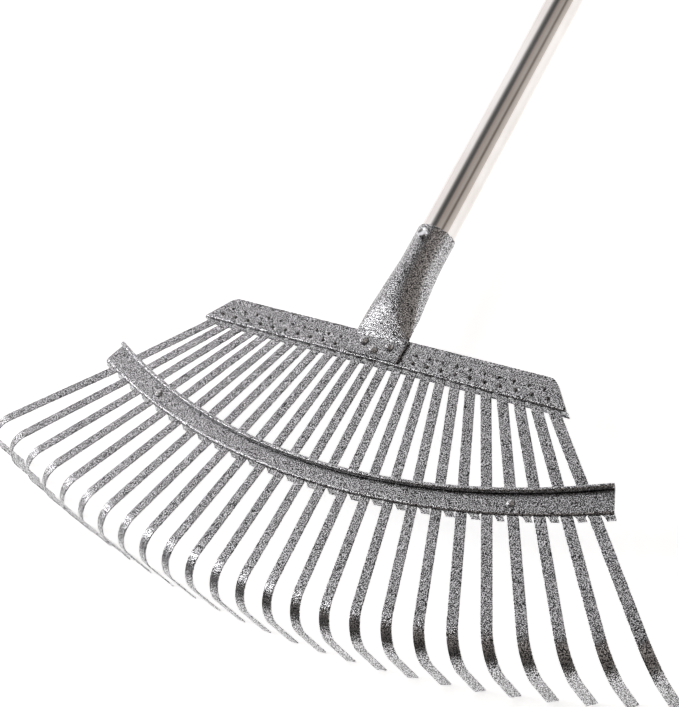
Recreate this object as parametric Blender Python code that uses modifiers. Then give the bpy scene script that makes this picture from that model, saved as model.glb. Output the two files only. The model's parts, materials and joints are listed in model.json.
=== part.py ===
"""A leaf rake: a fan of sprung steel tines, clamped at the head and spread by a curved brace.

The rake lies on the ground as it is put down: on the tips of its tines and the end of its grip.
Everything is first built in the head's own frame. X runs across the fan, +Y runs back along the
handle, and Z = 0 is the middle of the flat tines. The empty "rake" then lowers the handle end
until it meets the ground, and moves the whole rake over the origin.
"""
import math

import bmesh
import bpy
from mathutils import Matrix, Vector

MM = 0.001
GAP = 0.3 * MM                      # air between two pieces that touch
PAST = 10.0 * MM                    # how far a cutter or a sheet reaches past what it is cut to
SHEET = 1.2 * MM                    # the two plates of the head

# Tines
TINE_COUNT = 25
TINE_WIDTH = 7.1 * MM
TINE_THICK = 1.0 * MM
ROOT_PITCH = 10.82 * MM             # between two roots at the middle of the head
ROOT_SPREAD = 5.7 * MM              # what the outermost root stands further out than its pitch
FAN_STEP = math.radians(3.6)        # between two tines
FAN_SPREAD = math.radians(1.3)      # what the outermost tine turns further than its steps
ROOT_LENGTH = 14.0 * MM             # clamped between the plates
REACH = 160.3 * MM                  # from the head to the hook, on the middle tine
REACH_SPREAD = 7.5 * MM             # what the outermost tine reaches further
HOOK_RADIUS = 19.9 * MM
HOOK_ANGLE = math.radians(93.1)
HOOK_STEPS = 8
TIP_LENGTH = 28.0 * MM

# Head plate and clamp plate
PLATE_DEPTH = 18.0 * MM
PLATE_HALF_FRONT = 145.5 * MM
PLATE_HALF_REAR = 130.0 * MM
PLATE_CORNER = 4.0 * MM
PLATE_Z = 1.4 * MM                  # middle of the sheet above and below the tines
FOLD_RADIUS = 1.2 * MM
FLANGE_DROP = 4.2 * MM              # below the middle of the tines
LIP = 1.4 * MM                      # turned forward along the flange's foot
SLOT_WIDTH = 7.9 * MM               # through the flange, round each tine
SLOT_HEIGHT = 1.56 * MM
SLOT_LENGTH, SLOT_AHEAD = 16.0 * MM, 2.0 * MM       # of a slot's cutter, and its middle's place
PUNCH_ROWS = ((3.4 * MM, 1.1 * MM), (9.2 * MM, 0.8 * MM))      # place behind the edge, radius
PUNCH_SIDES = 6

# Socket, a tube pressed flat at its riveted end
AXIS_RISE = math.radians(3.55)      # the handle's slope over the fan
TONGUE_LENGTH = 18.0 * MM
TONGUE_Z = 3.35 * MM
TONGUE_HALF = 0.95 * MM             # half its thickness: two walls and the slit between them
TONGUE_WIDTH = 21.0 * MM            # half its width
SOCKET_RADIUS = 13.35 * MM
SOCKET_WALL = 0.7 * MM
SOCKET_SIDES = 24
SOCKET_NOSE = 13.5 * MM             # where the swelling ends above the tongue
SOCKET_HEEL = 19.5 * MM             # and below it
NOSE_LENGTH = 15.0 * MM             # over which the swelling rounds off, above
HEEL_LENGTH = 16.0 * MM             # and below
NECK_HEIGHT = 9.4 * MM              # half the height just behind the nose
NECK_BACK, NECK_FULL = 26.0 * MM, 36.0 * MM     # where the neck starts to grow, and over how much
TAPER_BACK, TAPER_LENGTH = 78.0 * MM, 64.0 * MM     # where the tube starts to widen to the tongue
LEAN_LENGTH = 30.0 * MM             # over which the socket turns up to the handle's slope
SOCKET_STATIONS = (0, 13.5, 14.0, 15.0, 16.5, 18.0, 19.5, 20.2, 21.5, 23.5, 26, 30, 35, 41, 48, 56,
                   66, 80, 96.5)    # mm behind the head's edge

# Handle
TUBE_RADIUS = 12.4 * MM
TUBE_WALL = 1.2 * MM
TUBE_START = 64.0 * MM              # how far behind the head the tube begins, in the socket
TUBE_LENGTH = 1230.0 * MM
TUBE_SIDES = 36
GRIP_LENGTH = 125.0 * MM
GRIP_RADIUS = 15.0 * MM
GRIP_END = 24.0 * MM                # solid end, which holds the hanging hole
GRIP_FLAT = 10.0 * MM               # radius of the flat on the end
GRIP_SHOULDER = 5.0 * MM            # rounding between the flat and the side
GRIP_CHAMFER = (3.0 * MM, 1.0 * MM)     # along the grip's mouth, and off its radius
HANG_HOLE = 5.0 * MM
HANG_SIDES = 20
HANG_PLACE = 12.0 * MM              # from the end of the grip

# Socket bolt, M4
BOLT_PLACE = 88.5 * MM
BOLT_RADIUS = 2.0 * MM
HEX_HALF = 3.5 * MM                 # half the width across the flats
HEX_HEIGHT = 2.8 * MM
NUT_HEIGHT = 3.2 * MM
BOLT_END = 1.5 * MM                 # past the nut
BOLT_SIDES = 16

# Rivets
RIVET_RADIUS = 1.9 * MM
RIVET_HEAD = 3.2 * MM
RIVET_DOME = 2.1 * MM
RIVET_FOOT = 1.3 * MM
RIVET_BACK = 9.6 * MM               # the outer two, behind the head's edge
RIVET_FRONT = 4.8 * MM              # the middle one
BRACE_RIVET_RADIUS = 1.6 * MM
BRACE_RIVET_HEAD = 2.7 * MM
BRACE_RIVET_DOME = 1.1 * MM
BRACE_RIVET_TINE = 9                # counted from the middle, on each side
DOME_ANGLES = (0, 25, 50, 75, 90)   # degrees from a dome's top to its rim
CLOSED_TAPER = 0.8                  # a closed head's end, as a share of its width
RIVET_SIDES = 20
BRACE_RIVET_AHEAD = 7.2 * MM        # in front of the bead

# Brace, an arc of folded sheet across the tines
BRACE_RADIUS = 495.0 * MM           # of its bead
BRACE_FRONT = 81.0 * MM             # the bead's place in front of the head, at the middle
BRACE_HALF_ANGLE = math.radians(23.6)
BRACE_STEPS = 28
BRACE_ARC_STEP = math.radians(1.9)  # round the arc between two tines, about
BRACE_SHEET = 1.1 * MM
WEB_Z = 1.35 * MM                   # middle of the web's sheet
WEB_DEPTH = 12.0 * MM
WEB_GROWTH = 4.0 * MM               # what the web is deeper at the brace's two ends
TOOTH_DEPTH = 5.0 * MM              # the web's front edge, turned down between the tines
TOOTH_LEAN = 1.6 * MM
TINE_BEND = 6.0 * MM                # where a tine starts to climb, in front of the web
BEAD_RADIUS = 1.1 * MM
BEAD_RISE = 1.5 * MM                # straight wall between web and bead
WEB_FILLET = 1.0 * MM               # between the web and the bead's wall
WEB_TURN = 2.0 * MM                 # the web's front edge as it turns down
ARCH_HALF = 5.2 * MM                # half of an arch's width at its foot
ARCH_TOP = 1.2 * MM
ARCH_AHEAD, ARCH_LENGTH = 2.5 * MM, 12.0 * MM       # of an arch's cutter past the web, and along the tine
ARCH_BELOW = 3.0 * MM               # of the cutter under the teeth
TAB_HALF = 6.2 * MM                 # the lower arches over the two riveted tines
TAB_TOP = 0.95 * MM
ARCH_POINTS = 9
ARCH_SIDE, ARCH_CROWN = 0.5, 0.35   # powers that square an arch's sides and its top
HOLE_SIDES = 12

COLOURS = {
    "hammertone": ((0.30, 0.30, 0.31, 1.0), 0.45, 0.6),
    "polished": ((0.78, 0.75, 0.73, 1.0), 0.15, 1.0),
    "zinc": ((0.72, 0.73, 0.75, 1.0), 0.30, 1.0),
    "plastic": ((0.03, 0.03, 0.03, 1.0), 0.55, 0.0),
}


def clear_scene():
    """Empty the scene and make the two collections."""
    for old in list(bpy.data.objects):
        bpy.data.objects.remove(old, do_unlink=True)
    made = []
    for name in ("leaf_rake", "cutters"):
        collection = bpy.data.collections.new(name)
        bpy.context.scene.collection.children.link(collection)
        made.append(collection)
    return made


def make_material(name):
    """A plain metal or plastic in the finish's colour."""
    colour, roughness, metallic = COLOURS[name]
    material = bpy.data.materials.get(name) or bpy.data.materials.new(name)
    material.use_nodes = True
    shader = material.node_tree.nodes["Principled BSDF"]
    shader.inputs["Base Color"].default_value = colour
    shader.inputs["Roughness"].default_value = roughness
    shader.inputs["Metallic"].default_value = metallic
    return material


def add_part(name, bm, finish):
    """Turn a bmesh into a named part of the rake."""
    mesh = bpy.data.meshes.new(name)
    bm.to_mesh(mesh)
    bm.free()
    part = bpy.data.objects.new(name, mesh)
    parts_collection.objects.link(part)
    part.data.materials.append(make_material(finish))
    part.parent = rake
    return part


def add_cutter(name, bm):
    """Turn a bmesh into a hidden cutter."""
    bmesh.ops.recalc_face_normals(bm, faces=bm.faces)
    mesh = bpy.data.meshes.new(name)
    bm.to_mesh(mesh)
    bm.free()
    cutter = bpy.data.objects.new(name, mesh)
    cutters_collection.objects.link(cutter)
    cutter.hide_render = True
    cutter.display_type = 'WIRE'
    cutter.parent = rake
    return cutter


def cut(part, cutter, operation='DIFFERENCE'):
    """Cut a part with a cutter."""
    boolean = part.modifiers.new(cutter.name, 'BOOLEAN')
    boolean.operation = operation
    boolean.object = cutter
    boolean.solver = 'EXACT'


def thicken(part, thickness):
    """Give an open sheet its thickness, half to each side."""
    solidify = part.modifiers.new("thickness", 'SOLIDIFY')
    solidify.thickness = thickness
    solidify.offset = 0.0
    solidify.use_even_offset = True


def add_prism(bm, outline, low, high):
    """An upright prism over an outline of (x, y) points."""
    base = [bm.verts.new((x, y, low)) for x, y in outline]
    face = bm.faces.new(base)
    raised = bmesh.ops.extrude_face_region(bm, geom=[face])
    top = [item for item in raised["geom"] if isinstance(item, bmesh.types.BMVert)]
    bmesh.ops.translate(bm, verts=top, vec=(0.0, 0.0, high - low))


def add_rod(bm, radius, low, high, sides, matrix):
    """A cylinder along the matrix's Z from low to high."""
    middle = Matrix.Translation((0.0, 0.0, (low + high) / 2))
    bmesh.ops.create_cone(bm, cap_ends=True, segments=sides, radius1=radius, radius2=radius,
                          depth=high - low, matrix=matrix @ middle)


def add_block(bm, size, matrix):
    """A box of a size, centred on the matrix."""
    bmesh.ops.create_cube(bm, size=1.0, matrix=matrix @ Matrix.Diagonal((*size, 1.0)))


def smooth_step(value):
    """0 below 0, 1 above 1, and an even S between."""
    value = min(max(value, 0.0), 1.0)
    return value * value * (3.0 - 2.0 * value)


def arc_points(centre, radius, start, end, steps):
    """Points along a round stretch of a profile, start and end in degrees."""
    angles = [math.radians(start + (end - start) * step / steps) for step in range(steps + 1)]
    return [(centre[0] + radius * math.cos(a), centre[1] + radius * math.sin(a)) for a in angles]


def folded_sheet(profile, half_width):
    """An open sheet: a (y, z) profile drawn out along X."""
    bm = bmesh.new()
    line = [bm.verts.new((-half_width, y, z)) for y, z in profile]
    edges = [bm.edges.new(pair) for pair in zip(line, line[1:])]
    drawn = bmesh.ops.extrude_edge_only(bm, edges=edges)
    moved = [item for item in drawn["geom"] if isinstance(item, bmesh.types.BMVert)]
    bmesh.ops.translate(bm, verts=moved, vec=(2 * half_width, 0.0, 0.0))
    return bm


def turned(name, profile, sides, finish, matrix, ring=False):
    """A body turned about the matrix's Z from a profile of (radius, z), top to bottom outside."""
    bm = bmesh.new()
    line = [bm.verts.new((radius, 0.0, z)) for radius, z in profile]
    pairs = list(zip(line, line[1:]))
    if ring:
        pairs.append((line[-1], line[0]))
    for pair in pairs:
        bm.edges.new(pair)
    part = add_part(name, bm, finish)
    part.matrix_local = matrix
    screw = part.modifiers.new("turn", 'SCREW')
    screw.axis = 'Z'
    screw.steps = sides
    screw.render_steps = sides
    screw.use_merge_vertices = True
    screw.merge_threshold = 0.00005
    screw.use_normal_calculate = False
    screw.use_smooth_shade = True
    return part


# ---- the fan ------------------------------------------------------------------------------

def fan_place(index):
    """Where a tine leaves the head, its turn, and how far it reaches to its hook."""
    share = index / ((TINE_COUNT - 1) / 2)
    root_x = ROOT_PITCH * index + ROOT_SPREAD * share ** 3
    turn = FAN_STEP * index + FAN_SPREAD * share ** 7
    reach = REACH + REACH_SPREAD * share ** 2
    return root_x, turn, reach


def along_tine(index, distance):
    """The point on a tine's middle line at a distance in front of the head."""
    root_x, turn, _ = fan_place(index)
    return Vector((root_x + distance * math.sin(turn), -distance * math.cos(turn), 0.0))


def tine_crossing(index, radius):
    """How far along a tine it crosses an arc about the brace's centre."""
    root_x, turn, _ = fan_place(index)
    centre_y = BRACE_RADIUS - BRACE_FRONT
    half = root_x * math.sin(turn) + centre_y * math.cos(turn)
    rest = root_x ** 2 + centre_y ** 2 - radius ** 2
    return -half + math.sqrt(half ** 2 - rest)


def tine_frame(index, distance):
    """A matrix on a tine: Y points back along it, Z up."""
    _, turn, _ = fan_place(index)
    return Matrix.Translation(along_tine(index, distance)) @ Matrix.Rotation(turn, 4, 'Z')


def tip_reach(index):
    """How far in front of the head a tine's tip is, measured along Y."""
    _, turn, reach = fan_place(index)
    hook = HOOK_RADIUS * math.sin(HOOK_ANGLE) + TIP_LENGTH * math.cos(HOOK_ANGLE)
    return (reach + hook) * math.cos(turn)


def tine_profile(index):
    """The (y, z) line of a tine: flat to the brace, a slight rise, the hook and the tip."""
    _, _, reach = fan_place(index)
    bend = tine_crossing(index, BRACE_RADIUS + WEB_DEPTH + TINE_BEND)
    rise = math.tan(GROUND_SLOPE) * (tip_reach(0) - tip_reach(index))
    slope = math.atan2(rise, reach - bend)
    centre = (-reach, rise - HOOK_RADIUS)
    start = 90.0 + math.degrees(-slope)
    end = 90.0 + math.degrees(HOOK_ANGLE)
    hook = arc_points(centre, HOOK_RADIUS, start, end, HOOK_STEPS)
    last = hook[-1]
    tip = (last[0] - TIP_LENGTH * math.cos(HOOK_ANGLE), last[1] - TIP_LENGTH * math.sin(HOOK_ANGLE))
    return [(ROOT_LENGTH, 0.0), (0.0, 0.0), (-bend, 0.0), *hook, tip]


def make_tines():
    """All the tines, from -X to +X."""
    middle = (TINE_COUNT - 1) // 2
    tines = {}
    for index in range(-middle, middle + 1):
        sheet = folded_sheet(tine_profile(index), TINE_WIDTH / 2)
        tine = add_part(f"tine_{index + middle + 1:02d}", sheet, "hammertone")
        tine.matrix_local = tine_frame(index, 0.0)
        thicken(tine, TINE_THICK)
        tines[index] = tine
    return tines


# ---- the head -----------------------------------------------------------------------------

def plate_outline(front):
    """The plates' outline: wider at the front, with rounded corners at the rear."""
    side = math.atan2(PLATE_HALF_FRONT - PLATE_HALF_REAR, PLATE_DEPTH)
    turn = math.pi / 2 + side
    offset = PLATE_CORNER * math.tan(turn / 2 - side)
    centre = (PLATE_HALF_REAR - offset, PLATE_DEPTH - PLATE_CORNER)
    corner = arc_points(centre, PLATE_CORNER, math.degrees(side), 90.0, 4)
    foot = PLATE_HALF_FRONT + front * math.tan(side)
    half = [(foot, -front), *corner]
    return half + [(-x, y) for x, y in reversed(half)]


def make_head_plate():
    """The upper sheet: flat over the roots, folded down in front, with a small lip."""
    wall_y = -FOLD_RADIUS
    fold = arc_points((0.0, PLATE_Z - FOLD_RADIUS), FOLD_RADIUS, 90.0, 180.0, 4)
    foot = [(wall_y, -FLANGE_DROP), (wall_y - LIP, -FLANGE_DROP - LIP / 2)]
    profile = [(PLATE_DEPTH + PAST, PLATE_Z), *fold, *foot]
    plate = add_part("head_plate", folded_sheet(profile, PLATE_HALF_FRONT + PAST), "hammertone")
    thicken(plate, SHEET)
    outline = bmesh.new()
    add_prism(outline, plate_outline(PAST), -PAST, PAST)
    cut(plate, add_cutter("head_plate_outline", outline), 'INTERSECT')
    cut(plate, add_cutter("tine_slots", tine_slots()))
    cut(plate, add_cutter("punch_marks", punch_marks()))
    cut(plate, add_cutter("head_rivet_holes", rivet_holes()))


def tine_slots():
    """One slot for each tine, through the flange."""
    bm = bmesh.new()
    middle = (TINE_COUNT - 1) // 2
    for index in range(-middle, middle + 1):
        add_block(bm, (SLOT_WIDTH, SLOT_LENGTH, SLOT_HEIGHT), tine_frame(index, SLOT_AHEAD))
    return bm


def punch_marks():
    """Two clinch marks over each root, but for those under the socket's tongue."""
    bm = bmesh.new()
    middle = (TINE_COUNT - 1) // 2
    for index in range(-middle, middle + 1):
        if abs(index) < 2:
            continue
        for back, radius in PUNCH_ROWS:
            _, turn, _ = fan_place(index)
            place = tine_frame(index, -back / math.cos(turn))
            add_rod(bm, radius, PLATE_Z - SHEET, PLATE_Z + SHEET, PUNCH_SIDES, place)
    return bm


def make_clamp_plate():
    """The lower sheet, flat under the roots."""
    profile = [(PLATE_DEPTH + PAST, -PLATE_Z), (-GAP, -PLATE_Z)]
    plate = add_part("clamp_plate", folded_sheet(profile, PLATE_HALF_FRONT), "hammertone")
    thicken(plate, SHEET)
    outline = bmesh.new()
    add_prism(outline, plate_outline(PAST), -PAST, PAST)
    cut(plate, add_cutter("clamp_plate_outline", outline), 'INTERSECT')
    cut(plate, add_cutter("clamp_rivet_holes", rivet_holes()))


# ---- the socket ---------------------------------------------------------------------------

def rivet_places():
    """The three rivets: two at the back and one nearer the edge."""
    outer = along_tine(1, -RIVET_BACK)
    return [Vector((-outer.x, outer.y, 0.0)), Vector((0.0, RIVET_FRONT, 0.0)), outer]


def rivet_holes():
    """Holes for the three rivets, through everything they clamp."""
    bm = bmesh.new()
    for place in rivet_places():
        add_rod(bm, RIVET_RADIUS + GAP, -PAST, PAST, HOLE_SIDES, Matrix.Translation(place))
    return bm


def socket_frame(back):
    """A matrix on the socket's middle line: it lies flat on the plate, then rises."""
    lean = AXIS_RISE * smooth_step((back - TONGUE_LENGTH) / LEAN_LENGTH)
    climb = math.tan(AXIS_RISE) * max(back - TONGUE_LENGTH, 0.0)
    return Matrix.Translation((0.0, back, TONGUE_Z + climb)) @ Matrix.Rotation(lean, 4, 'X')


def socket_section(back, inset):
    """One section of the tube, round at its mouth and pressed flat at its tongue."""
    wide = smooth_step((TAPER_BACK - back) / TAPER_LENGTH)
    half_width = SOCKET_RADIUS + (TONGUE_WIDTH - SOCKET_RADIUS) * wide
    full = smooth_step((back - NECK_BACK) / NECK_FULL)
    body = NECK_HEIGHT + (SOCKET_RADIUS - NECK_HEIGHT) * full

    def height(nose, length):
        """Half the height: a round nose in front, then the body."""
        run = min(max((back - nose) / length, 0.0), 1.0)
        return max(body * math.sqrt(1.0 - (1.0 - run) ** 2), TONGUE_HALF)

    above = height(SOCKET_NOSE, NOSE_LENGTH) - inset
    below = height(SOCKET_HEEL, HEEL_LENGTH) - inset
    points = []
    for step in range(SOCKET_SIDES):
        angle = 2 * math.pi * step / SOCKET_SIDES
        depth = above if math.sin(angle) > 0 else below
        points.append(((half_width - inset) * math.cos(angle), 0.0, depth * math.sin(angle)))
    frame = socket_frame(back)
    return [frame @ Vector(point) for point in points]


def make_socket():
    """The socket: outer and inner walls lofted through the sections and joined at both mouths."""
    bm = bmesh.new()
    walls = []
    for inset in (0.0, SOCKET_WALL):
        walls.append([[bm.verts.new(point) for point in socket_section(back * MM, inset)]
                      for back in SOCKET_STATIONS])
    outer, inner = walls
    loops = outer + inner[::-1]
    for first, second in zip(loops, loops[1:] + loops[:1]):
        for side in range(SOCKET_SIDES):
            after = (side + 1) % SOCKET_SIDES
            bm.faces.new((first[side], second[side], second[after], first[after]))
    bmesh.ops.recalc_face_normals(bm, faces=bm.faces)
    socket = add_part("handle_socket", bm, "hammertone")
    cut(socket, add_cutter("socket_rivet_holes", rivet_holes()))
    cut(socket, add_cutter("socket_bolt_hole", bolt_hole()))


def bolt_frame():
    """A matrix on the handle's middle line at the bolt, Z along the bolt."""
    return socket_frame(BOLT_PLACE)


def bolt_hole():
    """The hole across the socket and the tube."""
    bm = bmesh.new()
    reach = SOCKET_RADIUS + PAST
    add_rod(bm, BOLT_RADIUS + GAP, -reach, reach, HOLE_SIDES, bolt_frame())
    return bm


def make_bolt_and_nut():
    """A hexagon bolt from above, and its nut below."""
    seat = SOCKET_RADIUS + GAP
    end = seat + NUT_HEIGHT + BOLT_END
    corner = HEX_HALF / math.cos(math.pi / 6)
    shank = bmesh.new()
    add_rod(shank, BOLT_RADIUS, -end, seat + HEX_HEIGHT / 2, BOLT_SIDES, Matrix())
    bolt = add_part("socket_bolt", shank, "zinc")
    bolt.matrix_local = bolt_frame()
    head = bmesh.new()
    add_rod(head, corner, seat, seat + HEX_HEIGHT, 6, bolt_frame())
    cut(bolt, add_cutter("bolt_head", head), 'UNION')
    body = bmesh.new()
    add_rod(body, corner, -seat - NUT_HEIGHT, -seat, 6, Matrix())
    nut = add_part("socket_nut", body, "zinc")
    nut.matrix_local = bolt_frame()
    cut(nut, add_cutter("nut_hole", bolt_hole()))


def make_rivet(name, place, radius, head, dome, low, high, foot):
    """A rivet: a domed head at high, a shank, and a flat closed head at low."""
    top = [(head * math.sin(math.radians(a)), high + dome * math.cos(math.radians(a)))
           for a in DOME_ANGLES]
    shank = [(radius, high), (radius, low)]
    closed = [(head, low), (head * CLOSED_TAPER, low - foot), (0.0, low - foot)]
    turned(name, top + shank + closed, RIVET_SIDES, "hammertone", Matrix.Translation(place))


def make_rivets(tines):
    """The rivets that hold the socket to the head, through the roots of three tines."""
    high = TONGUE_Z + TONGUE_HALF + GAP
    low = -PLATE_Z - SHEET / 2 - GAP
    for number, place in enumerate(rivet_places(), start=1):
        make_rivet(f"socket_rivet_{number}", place, RIVET_RADIUS, RIVET_HEAD, RIVET_DOME,
                   low, high, RIVET_FOOT)
    for index in (-1, 0, 1):
        cut(tines[index], add_cutter(f"root_hole_{index + 2}", rivet_holes()))


# ---- the handle ---------------------------------------------------------------------------

def handle_frame(distance):
    """A matrix on the handle's middle line, Z pointing to its far end."""
    start = socket_frame(TUBE_START)
    direction = start.to_3x3() @ Vector((0.0, 1.0, 0.0))
    place = start.translation + direction * distance
    return Matrix.Translation(place) @ Matrix.Rotation(AXIS_RISE - math.pi / 2, 4, 'X')


def make_handle():
    """A thin steel tube, and the grip pushed over its far end."""
    inner = TUBE_RADIUS - TUBE_WALL
    ring = [(TUBE_RADIUS, TUBE_LENGTH), (TUBE_RADIUS, 0.0), (inner, 0.0), (inner, TUBE_LENGTH)]
    tube = turned("handle_tube", ring, TUBE_SIDES, "polished", handle_frame(0.0), ring=True)
    cut(tube, add_cutter("tube_bolt_hole", bolt_hole()))
    bore = TUBE_RADIUS + GAP
    mouth = -(GRIP_LENGTH - GRIP_END) + GAP
    shoulder = arc_points((GRIP_FLAT, GRIP_END - GRIP_SHOULDER), GRIP_SHOULDER, 90.0, 0.0, 4)
    along, off = GRIP_CHAMFER
    outside = [(0.0, GRIP_END), *shoulder, (GRIP_RADIUS, mouth + along), (GRIP_RADIUS - off, mouth)]
    inside = [(bore, mouth), (bore, GAP), (0.0, GAP)]
    grip = turned("handle_grip", outside + inside, TUBE_SIDES, "plastic", handle_frame(TUBE_LENGTH))
    hole = bmesh.new()
    across = handle_frame(TUBE_LENGTH + GRIP_END - HANG_PLACE) @ Matrix.Rotation(math.pi / 2, 4, 'Y')
    add_rod(hole, HANG_HOLE, -GRIP_RADIUS - PAST, GRIP_RADIUS + PAST, HANG_SIDES, across)
    cut(grip, add_cutter("hanging_hole", hole))


# ---- the brace ----------------------------------------------------------------------------

def web_growth(angle):
    """How much deeper the web is at an angle round the arc than at its middle."""
    return WEB_GROWTH * (angle / BRACE_HALF_ANGLE) ** 2


def brace_profile(growth):
    """The (radius, z) line of the brace's sheet: bead, wall, web and turned-down front edge."""
    wall = BRACE_RADIUS - BEAD_RADIUS
    bead_z = WEB_Z + WEB_FILLET + BEAD_RISE
    bead = arc_points((BRACE_RADIUS, bead_z), BEAD_RADIUS, -30.0, 180.0, 5)
    corner = arc_points((wall + WEB_FILLET, WEB_Z + WEB_FILLET), WEB_FILLET, 180.0, 270.0, 2)
    front = wall + WEB_DEPTH + growth
    turn = arc_points((front, WEB_Z - WEB_TURN), WEB_TURN, 90.0, 15.0, 3)
    foot = (turn[-1][0] + TOOTH_LEAN, WEB_Z - TOOTH_DEPTH)
    return bead + corner + turn + [foot]


def make_brace(tines):
    """The brace's sheet, carried round its arc, arched over the tines and riveted to two."""
    bm = bmesh.new()
    centre_y = BRACE_RADIUS - BRACE_FRONT
    rows = []
    for step in range(BRACE_STEPS + 1):
        angle = BRACE_HALF_ANGLE * (2 * step / BRACE_STEPS - 1)
        rows.append([bm.verts.new((radius * math.sin(angle), centre_y - radius * math.cos(angle), z))
                     for radius, z in brace_profile(web_growth(angle))])
    for first, second in zip(rows, rows[1:]):
        for near in range(len(first) - 1):
            bm.faces.new((first[near], second[near], second[near + 1], first[near + 1]))
    brace = add_part("spreader_brace", bm, "hammertone")
    thicken(brace, BRACE_SHEET)
    cut(brace, add_cutter("brace_arches", brace_arches()))
    for side, name in ((-1, "left"), (1, "right")):
        index = side * BRACE_RIVET_TINE
        place = along_tine(index, tine_crossing(index, BRACE_RADIUS + BRACE_RIVET_AHEAD))
        low = -TINE_THICK / 2 - GAP
        high = WEB_Z + BRACE_SHEET / 2 + GAP
        make_rivet(f"brace_rivet_{name}", place, BRACE_RIVET_RADIUS, BRACE_RIVET_HEAD,
                   BRACE_RIVET_DOME, low, high, BRACE_RIVET_DOME)
        for part in (brace, tines[index]):
            hole = bmesh.new()
            add_rod(hole, BRACE_RIVET_RADIUS + GAP, -PAST, PAST, HOLE_SIDES,
                    Matrix.Translation(place))
            cut(part, add_cutter(f"{part.name}_hole_{name}", hole))


def brace_arches():
    """One tunnel for each tine through the turned-down edge, flat-topped with round shoulders."""
    bm = bmesh.new()
    middle = (TINE_COUNT - 1) // 2
    low = WEB_Z - TOOTH_DEPTH - ARCH_BELOW
    for index in range(-middle, middle + 1):
        riveted = abs(index) == BRACE_RIVET_TINE
        half, top = (TAB_HALF, TAB_TOP) if riveted else (ARCH_HALF, ARCH_TOP)
        across = tine_crossing(index, BRACE_RADIUS + WEB_DEPTH + ARCH_AHEAD)
        place = tine_frame(index, across + web_growth(BRACE_ARC_STEP * index))
        outline = []
        for step in range(ARCH_POINTS):
            angle = math.pi * step / (ARCH_POINTS - 1)
            x = half * math.copysign(abs(math.cos(angle)) ** ARCH_SIDE, math.cos(angle))
            outline.append((x, low + (top - low) * abs(math.sin(angle)) ** ARCH_CROWN))
        upright = place @ Matrix.Rotation(math.pi / 2, 4, 'X')
        tunnel = bmesh.new()
        add_prism(tunnel, outline, -ARCH_LENGTH / 2, ARCH_LENGTH / 2)
        tunnel.transform(upright)
        piece = bpy.data.meshes.new("tunnel")
        tunnel.to_mesh(piece)
        tunnel.free()
        bm.from_mesh(piece)
        bpy.data.meshes.remove(piece)
    return bm


# ---- the whole rake -----------------------------------------------------------------------

def ground_slope():
    """The fan's slope over the ground when the middle tip and the grip's end both touch it."""
    tip_drop = HOOK_RADIUS * (1 - math.cos(HOOK_ANGLE)) + TIP_LENGTH * math.sin(HOOK_ANGLE)
    end = handle_frame(TUBE_LENGTH + GRIP_END - GRIP_SHOULDER).translation
    grip_low = end.z - GRIP_RADIUS
    return math.atan2(grip_low + tip_drop, end.y + tip_reach(0))


def put_on_ground():
    """Tilt the rake by the ground's slope and centre its box over the origin."""
    rake.rotation_euler = (-GROUND_SLOPE, 0.0, 0.0)
    bpy.context.view_layer.update()
    graph = bpy.context.evaluated_depsgraph_get()
    points = []
    for part in parts_collection.objects:
        seen = part.evaluated_get(graph)
        points += [seen.matrix_world @ vertex.co for vertex in seen.data.vertices]
    low = [min(point[axis] for point in points) for axis in range(3)]
    high = [max(point[axis] for point in points) for axis in range(3)]
    rake.location = (-(low[0] + high[0]) / 2, -(low[1] + high[1]) / 2, -low[2])


parts_collection, cutters_collection = clear_scene()
rake = bpy.data.objects.new("rake", None)
bpy.context.scene.collection.objects.link(rake)
GROUND_SLOPE = ground_slope()
all_tines = make_tines()
make_head_plate()
make_clamp_plate()
make_socket()
make_bolt_and_nut()
make_rivets(all_tines)
make_handle()
make_brace(all_tines)
put_on_ground()
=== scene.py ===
# %% [markdown]
# # A leaf rake
# A leaf rake is a fan of 25 sprung steel tines. Their roots are clamped between two plates, a
# curved brace holds them apart, and a socket pressed from sheet joins the head to a steel tube.
# The solids from the workshop give every size and place. This lesson builds the surfaces that
# are seen: rounded strip edges, punched sheet, hammered lacquer and polished metal.

# %% Load the workshop model
import json
import math

import bmesh
import bpy
import numpy as np
from mathutils import Matrix


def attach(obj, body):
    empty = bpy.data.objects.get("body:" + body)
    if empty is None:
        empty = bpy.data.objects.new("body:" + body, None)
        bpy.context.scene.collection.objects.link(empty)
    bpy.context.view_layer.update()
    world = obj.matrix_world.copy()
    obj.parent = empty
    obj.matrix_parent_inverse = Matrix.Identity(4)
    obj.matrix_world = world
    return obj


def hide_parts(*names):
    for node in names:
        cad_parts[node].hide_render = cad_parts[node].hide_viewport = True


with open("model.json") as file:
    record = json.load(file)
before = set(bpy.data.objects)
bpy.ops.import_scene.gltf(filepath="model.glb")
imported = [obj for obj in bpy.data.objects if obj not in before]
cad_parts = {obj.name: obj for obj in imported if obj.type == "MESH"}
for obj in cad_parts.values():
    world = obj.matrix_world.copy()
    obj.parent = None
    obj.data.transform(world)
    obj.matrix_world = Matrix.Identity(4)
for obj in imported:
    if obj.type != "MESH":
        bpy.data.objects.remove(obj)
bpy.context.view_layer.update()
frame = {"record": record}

# %% [markdown]
# ## The head's own frame
# Everything on a rake is drawn from its head: X runs across the fan, Y runs back along the
# handle, and Z = 0 is the middle of the flat tines. The rake lies on the ground on its tips and
# its grip, so that frame is a little tilted. The record names a flat place on top of the head
# plate. Its axis gives the tilt and its position gives the shift, which is safer than typing
# them in again.

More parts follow.
